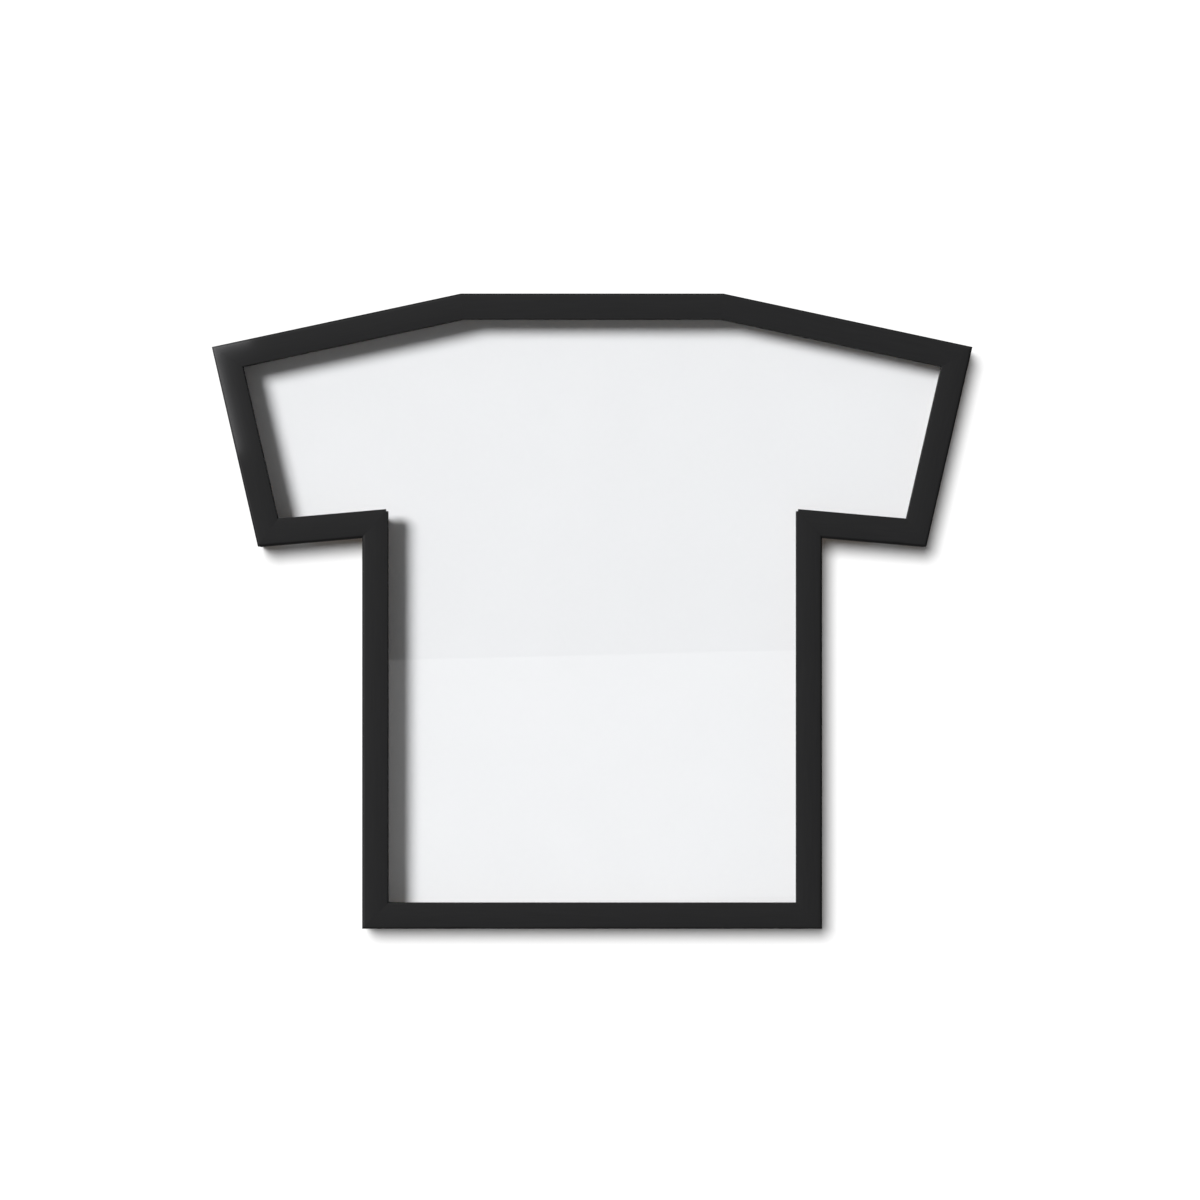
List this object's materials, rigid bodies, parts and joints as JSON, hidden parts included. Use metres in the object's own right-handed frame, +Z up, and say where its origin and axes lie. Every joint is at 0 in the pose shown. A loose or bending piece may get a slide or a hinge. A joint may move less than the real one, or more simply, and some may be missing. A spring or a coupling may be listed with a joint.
{
  "type": "jersey display frame",
  "caption": "Wall-hung display frame in the outline of a short-sleeved shirt, with a clear window, a shirt-form panel and a back cover held by turn buttons.",
  "frame": {"origin": "on the wall plane, midway between the two hangers and level with the tops of their notches", "axes": "+X to the viewer's right along the width, +Y from the front face into the wall, +Z up"},
  "size_m": [0.655, 0.042, 0.547],
  "materials": {
    "frame_black": "satin black paint",
    "window_clear": "clear acrylic sheet",
    "spacer_black": "matte black",
    "panel_white": "white paper-faced foam board",
    "cover_brown": "bare hardboard",
    "nail_steel": "bare steel",
    "button_zinc": "zinc-plated steel",
    "screw_zinc": "zinc-plated steel",
    "hanger_zinc": "zinc-plated steel",
    "bumper_rubber": "matte rubber"
  },
  "bodies": {
    "frame": {"neck_rail": "frame_black", "right_shoulder_rail": "frame_black", "right_sleeve_end_rail": "frame_black", "right_sleeve_underside_rail": "frame_black", "right_side_rail": "frame_black", "bottom_rail": "frame_black", "left_side_rail": "frame_black", "left_sleeve_underside_rail": "frame_black", "left_sleeve_end_rail": "frame_black", "left_shoulder_rail": "frame_black", "corner_nails": "nail_steel", "window": "window_clear", "neck_spacer": "spacer_black", "right_shoulder_spacer": "spacer_black", "right_sleeve_end_spacer": "spacer_black", "right_sleeve_underside_spacer": "spacer_black", "right_side_spacer": "spacer_black", "bottom_spacer": "spacer_black", "left_side_spacer": "spacer_black", "left_sleeve_underside_spacer": "spacer_black", "left_sleeve_end_spacer": "spacer_black", "left_shoulder_spacer": "spacer_black", "button_screws": "screw_zinc", "left_hanger": "hanger_zinc", "right_hanger": "hanger_zinc", "hanger_screws": "screw_zinc", "left_bumper": "bumper_rubber", "right_bumper": "bumper_rubber"},
    "shirt_panel": {"shirt_panel": "panel_white"},
    "back_cover": {"back_cover": "cover_brown"},
    "neck_button": {"neck_button": "button_zinc"},
    "right_shoulder_button": {"right_shoulder_button": "button_zinc"},
    "right_sleeve_end_button": {"right_sleeve_end_button": "button_zinc"},
    "right_sleeve_underside_button": {"right_sleeve_underside_button": "button_zinc"},
    "right_side_upper_button": {"right_side_upper_button": "button_zinc"},
    "right_side_lower_button": {"right_side_lower_button": "button_zinc"},
    "bottom_right_button": {"bottom_right_button": "button_zinc"},
    "bottom_left_button": {"bottom_left_button": "button_zinc"},
    "left_side_lower_button": {"left_side_lower_button": "button_zinc"},
    "left_side_upper_button": {"left_side_upper_button": "button_zinc"},
    "left_sleeve_underside_button": {"left_sleeve_underside_button": "button_zinc"},
    "left_sleeve_end_button": {"left_sleeve_end_button": "button_zinc"},
    "left_shoulder_button": {"left_shoulder_button": "button_zinc"}
  },
  "joints": [
    {"name": "shirt_panel_lift", "type": "slide", "parent": "frame", "child": "shirt_panel", "axis": [0, 1, 0], "range_m": [0, 0.06]},
    {"name": "back_cover_lift", "type": "slide", "parent": "shirt_panel", "child": "back_cover", "axis": [0, 1, 0], "range_m": [0, 0.06]},
    {"name": "neck_button_turn", "type": "hinge", "parent": "frame", "child": "neck_button", "pos_m": [0, -0.004, 0.00315], "axis": [0, 1, 0], "continuous": true},
    {"name": "right_shoulder_button_turn", "type": "hinge", "parent": "frame", "child": "right_shoulder_button", "pos_m": [0.21873, -0.004, -0.01969], "axis": [0, 1, 0], "continuous": true},
    {"name": "right_sleeve_end_button_turn", "type": "hinge", "parent": "frame", "child": "right_sleeve_end_button", "pos_m": [0.3006, -0.004, -0.1199], "axis": [0, 1, 0], "continuous": true},
    {"name": "right_sleeve_underside_button_turn", "type": "hinge", "parent": "frame", "child": "right_sleeve_underside_button", "pos_m": [0.266, -0.004, -0.19827], "axis": [0, 1, 0], "continuous": true},
    {"name": "right_side_upper_button_turn", "type": "hinge", "parent": "frame", "child": "right_side_upper_button", "pos_m": [0.19075, -0.004, -0.28385], "axis": [0, 1, 0], "continuous": true},
    {"name": "right_side_lower_button_turn", "type": "hinge", "parent": "frame", "child": "right_side_lower_button", "pos_m": [0.19075, -0.004, -0.45235], "axis": [0, 1, 0], "continuous": true},
    {"name": "bottom_right_button_turn", "type": "hinge", "parent": "frame", "child": "bottom_right_button", "pos_m": [0.099, -0.004, -0.52935], "axis": [0, 1, 0], "continuous": true},
    {"name": "bottom_left_button_turn", "type": "hinge", "parent": "frame", "child": "bottom_left_button", "pos_m": [-0.099, -0.004, -0.52935], "axis": [0, 1, 0], "continuous": true},
    {"name": "left_side_lower_button_turn", "type": "hinge", "parent": "frame", "child": "left_side_lower_button", "pos_m": [-0.19075, -0.004, -0.45235], "axis": [0, 1, 0], "continuous": true},
    {"name": "left_side_upper_button_turn", "type": "hinge", "parent": "frame", "child": "left_side_upper_button", "pos_m": [-0.19075, -0.004, -0.28385], "axis": [0, 1, 0], "continuous": true},
    {"name": "left_sleeve_underside_button_turn", "type": "hinge", "parent": "frame", "child": "left_sleeve_underside_button", "pos_m": [-0.266, -0.004, -0.19827], "axis": [0, 1, 0], "continuous": true},
    {"name": "left_sleeve_end_button_turn", "type": "hinge", "parent": "frame", "child": "left_sleeve_end_button", "pos_m": [-0.3006, -0.004, -0.1199], "axis": [0, 1, 0], "continuous": true},
    {"name": "left_shoulder_button_turn", "type": "hinge", "parent": "frame", "child": "left_shoulder_button", "pos_m": [-0.21873, -0.004, -0.01969], "axis": [0, 1, 0], "continuous": true}
  ]
}
